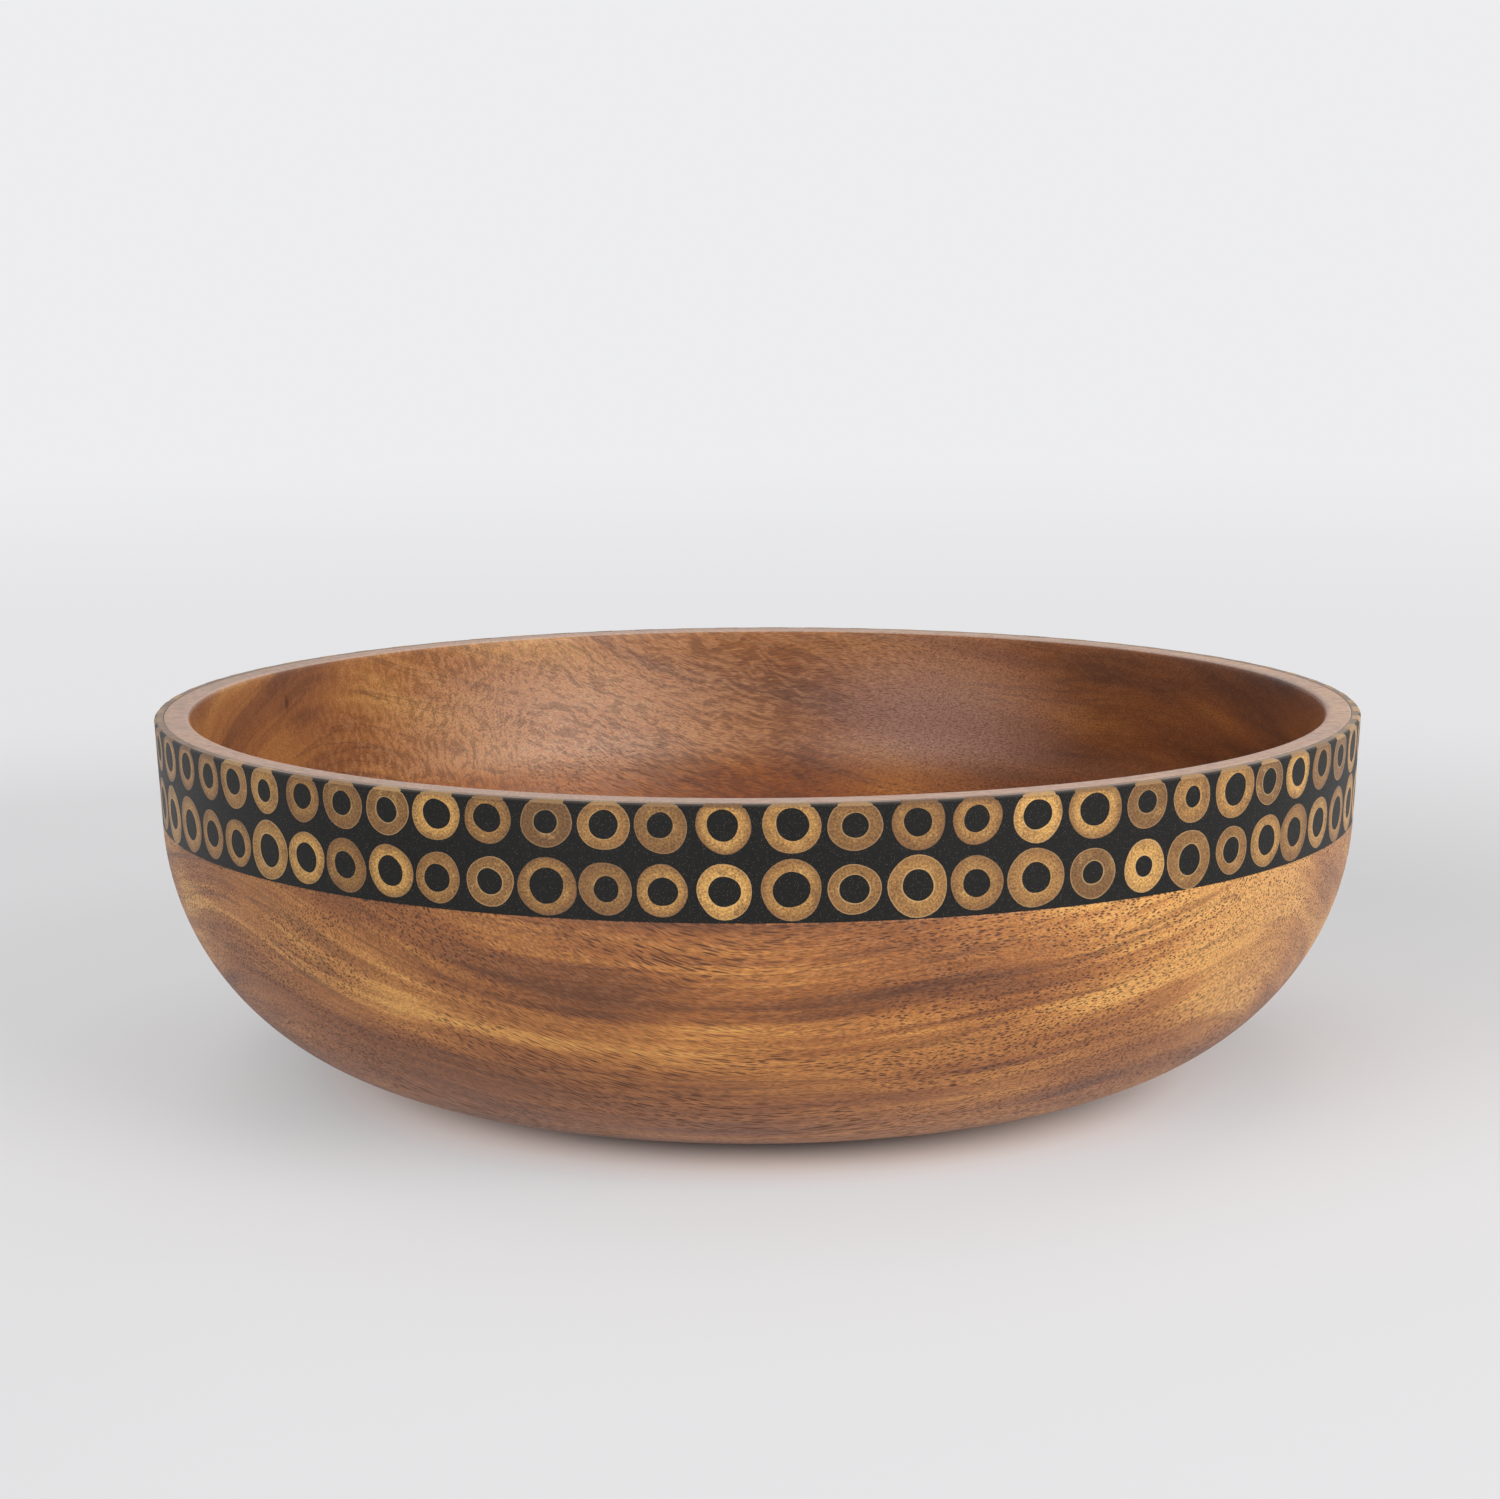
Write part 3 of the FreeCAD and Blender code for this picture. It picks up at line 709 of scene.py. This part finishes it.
def bamboo():
    """Cut cane: a tan ground stippled with fibre ends, smudged in places, with a thin skin."""
    cane = Finish("bamboo")
    face = cane.add("ShaderNodeUVMap", uv_map="slice_face").outputs[0]
    face = cane.vector("MULTIPLY", face, (1000, 1000, 0))
    ring = cane.value("ring")
    varied = cane.value("skin")
    shade = cane.ramp(cane.value("tone"), CANE_SHADES)
    smudge = cane.noise(cane.place(), (0.28, 0.28, 0.28), 3.0, 0.6)
    shade = cane.blend(cane.between(smudge, 0.52, 0.68, 0, 0.5), shade, BROWN_SMUDGE)
    shade = cane.blend(cane.between(smudge, 0.44, 0.30, 0, 0.35), shade, PALE_SMUDGE)

    # The cane's wall is paler towards the bore and browner towards its skin.
    outward = cane.sum("MULTIPLY", cane.between(ring, 0.30, 0.86), cane.between(varied, 0, 1, 0.6, 0.25))
    shade = cane.blend(outward, shade, OUTER_CANE)
    ends = cane.noise(face, (1.9, 1.9, 1), 3.0, 0.8)
    shade = cane.blend(0.7, shade, cane.ramp(ends, FIBRE_STIPPLE), "OVERLAY")
    dots = cane.between(cane.cells(face, (0.46, 0.46, 1)), 0.38, 0.16)
    dots = cane.sum("MULTIPLY", dots, cane.between(ring, 0.1, 1.0, 0.2, 0.65))
    shade = cane.blend(dots, shade, FIBRE_END)
    skin = cane.blend(varied, DARK_SKIN, PALE_SKIN)
    shade = cane.blend(cane.between(ring, 0.88, 0.99, 0, 0.6), shade, skin)
    pith = cane.sum("MULTIPLY", cane.between(varied, 0.2, 1.0, 0.1, 0.5), cane.between(ring, 0.16, 0.0))
    shade = cane.blend(pith, shade, PALE_PITH)
    roughness = cane.between(dots, 0, 0.5, 0.42, 0.6)
    return cane.close(shade, roughness, ends, depth=0.00002, gloss=0.4)


def slices_of(cane, tone, finish):
    """All slices of one cane as one piece, each standing where its CAD solid is.

    Each slice stores its tone and its skin's, and each point how far out it is, 0 at the bore to 1.
    """
    rings = [ring_of(points) for points in solids_of(f"bamboo_slices_{cane}")]
    grids, sideways, upwards = zip(*(slice_grid(*ring) for ring in sorted(rings)))
    points = np.vstack([grid.reshape(-1, 3) for grid in grids])
    count, loops = len(rings), len(grids[0])
    each = loops * SLICE_STEPS
    loop, step = np.meshgrid(np.arange(loops), np.arange(SLICE_STEPS), indexing="ij")
    loop_next, step_next = (loop + 1) % loops, (step + 1) % SLICE_STEPS
    quad = np.stack([
        loop * SLICE_STEPS + step, loop_next * SLICE_STEPS + step,
        loop_next * SLICE_STEPS + step_next, loop * SLICE_STEPS + step_next], axis=2).reshape(1, -1, 4)
    faces = (quad + np.arange(count)[:, None, None] * each).reshape(-1, 4)
    piece = new_piece(f"bamboo_rings_{cane}", points, faces, finish, "bamboo", f"bamboo_slices_{cane}")
    corners = np.empty(len(piece.data.loops), dtype=np.int32)
    piece.data.loops.foreach_get("vertex_index", corners)
    # Each slice takes its own part of the fibre pattern, away from its neighbour's.
    apart = np.repeat(np.arange(count), each) * PATTERN_STEP
    face = np.stack([np.ravel(sideways) + apart, np.ravel(upwards)], axis=1)
    piece.data.uv_layers.new(name="slice_face").data.foreach_set("uv", face[corners].reshape(-1))
    tones = np.clip(tone + chance.normal(0, TONE_SPREAD, count), 0, 1)
    add_values(
        piece,
        tone=np.repeat(tones, each),
        skin=np.repeat(chance.uniform(0, 1, count), each),
        ring=np.tile(np.repeat([0.0, 0.0, 1.0, 1.0, 1.0], SLICE_STEPS), count),
    )


bamboo_finish = bamboo()
for cane, tone in CANE_TONES.items():
    slices_of(cane, tone, bamboo_finish)

# ---- The room ----
# A plain pale sweep of floor under soft light from the front right and above, seen from a little
# over the rim.

FLOOR_REACH = 6.0
FLOOR_SHADE = colour(236, 235, 236)
SHADOW_TINT = colour(238, 218, 209)
BACKDROP = colour(237, 237, 239)
SHADOW_MIDDLE = (3, 7, 0)
EVEN_LIGHT = 0.28


def pale_floor():
    """A wide level floor that fades into the backdrop's colour behind the bowl.

    Seen directly it glows in the backdrop's colour by a share that is none under the bowl, rises
    over 31 mm round it, differs from left to right and front to back, and is all from 2.2 m off.
    """
    corners = FLOOR_REACH * np.array([(-1, -1, 0), (1, -1, 0), (1, 1, 0), (-1, 1, 0)])
    mesh = bpy.data.meshes.new("floor")
    mesh.from_pydata(corners, [], [(0, 1, 2, 3)])
    floor = bpy.data.objects.new("floor", mesh)
    bpy.context.scene.collection.objects.link(floor)
    paint = Finish("pale_floor")
    distance = paint.length(paint.place())
    shadow = paint.distance(paint.place(), SHADOW_MIDDLE, (1, 1, 1))
    across, back, _ = paint.split(paint.place())
    left = paint.between(back, -138, 67, 0.59, 0.52)
    right = paint.between(back, -138, 67, 0.62, 0.18)
    # The left share goes over into the right one within 60 mm in front, and within 400 mm far back.
    change = paint.between(back, 60, 160, -150, -200), paint.between(back, 60, 160, -90, 200)
    near = paint.mix(paint.between(across, *change), left, right)
    near = paint.sum("MULTIPLY", near, paint.between(shadow, 80, 111))
    soon, late = paint.between(distance, 120, 700, 0, 0.8), paint.between(distance, 400, 2200, 0, 0.2)
    share = paint.sum("MAXIMUM", near, paint.sum("ADD", soon, late))
    rays = paint.add("ShaderNodeLightPath")
    seen = paint.sum("MAXIMUM", rays.outputs["Is Camera Ray"], rays.outputs["Is Glossy Ray"])
    seen = paint.sum("MAXIMUM", seen, rays.outputs["Is Transmission Ray"])
    lit = paint.add("ShaderNodeBsdfDiffuse", {"Color": FLOOR_SHADE})
    tint = paint.blend(paint.between(shadow, 93, 125), SHADOW_TINT, BACKDROP)
    glow = paint.add("ShaderNodeEmission", {"Color": tint, "Strength": 1.0})
    amount = paint.sum("MULTIPLY", share, seen)
    surface = paint.add("ShaderNodeMixShader", {0: amount, 1: lit.outputs[0], 2: glow.outputs[0]})
    paint.add("ShaderNodeOutputMaterial", {"Surface": surface.outputs[0]})
    mesh.materials.append(paint.material)


def pale_world():
    """Even light all round, seen as a pale backdrop."""
    world = bpy.data.worlds.new("studio")
    bpy.context.scene.world = world
    world.use_nodes = True
    tree = world.node_tree
    tree.nodes.clear()
    light = tree.nodes.new("ShaderNodeBackground")
    light.inputs["Color"].default_value = (1, 1, 1, 1)
    light.inputs["Strength"].default_value = EVEN_LIGHT
    seen = tree.nodes.new("ShaderNodeBackground")
    seen.inputs["Color"].default_value = BACKDROP
    rays = tree.nodes.new("ShaderNodeLightPath")
    mixer = tree.nodes.new("ShaderNodeMixShader")
    output = tree.nodes.new("ShaderNodeOutputWorld")
    direct = rays.outputs["Is Camera Ray"]
    for kind in ("Is Glossy Ray", "Is Transmission Ray"):
        either = tree.nodes.new("ShaderNodeMath")
        either.operation = "MAXIMUM"
        tree.links.new(direct, either.inputs[0])
        tree.links.new(rays.outputs[kind], either.inputs[1])
        direct = either.outputs[0]
    tree.links.new(direct, mixer.inputs[0])
    tree.links.new(light.outputs[0], mixer.inputs[1])
    tree.links.new(seen.outputs[0], mixer.inputs[2])
    tree.links.new(mixer.outputs[0], output.inputs["Surface"])


def soft_lamp(name, place, size, power):
    """A square area lamp facing the bowl: its place and side in metres and its power in watts."""
    data = bpy.data.lights.new(name, "AREA")
    data.size = size
    data.energy = power
    lamp = bpy.data.objects.new(name, data)
    lamp.location = place
    toward = Vector((0.0, 0.0, RIM_HEIGHT / 2)) - Vector(place)
    lamp.rotation_euler = toward.to_track_quat("-Z", "Y").to_euler()
    bpy.context.scene.collection.objects.link(lamp)


pale_floor()
pale_world()
soft_lamp("window", (1.15, -1.15, 0.75), 1.1, 20)
soft_lamp("low_fill", (-0.8, -1.5, 0.40), 1.0, 8)
soft_lamp("ceiling", (0.1, 0.2, 1.5), 1.2, 5)

CAMERA_DISTANCE = 0.850
CAMERA_PITCH = 0.160
CAMERA_ROLL = -0.0050
CAMERA_AIM = (-0.0019, 0.0, 0.08315)
CAMERA_LENS = 79.3
camera_data = bpy.data.cameras.new("camera")
camera_data.sensor_width = 36
camera_data.lens = CAMERA_LENS
camera = bpy.data.objects.new("camera", camera_data)
camera.location = (
    CAMERA_AIM[0],
    -CAMERA_DISTANCE * math.cos(CAMERA_PITCH),
    CAMERA_AIM[2] + CAMERA_DISTANCE * math.sin(CAMERA_PITCH),
)
tilt = Matrix.Rotation(math.pi / 2 - CAMERA_PITCH, 3, "X")
camera.rotation_euler = (tilt @ Matrix.Rotation(CAMERA_ROLL, 3, "Z")).to_euler()
bpy.context.scene.collection.objects.link(camera)
bpy.context.scene.camera = camera
bpy.context.scene.view_settings.view_transform = "Standard"
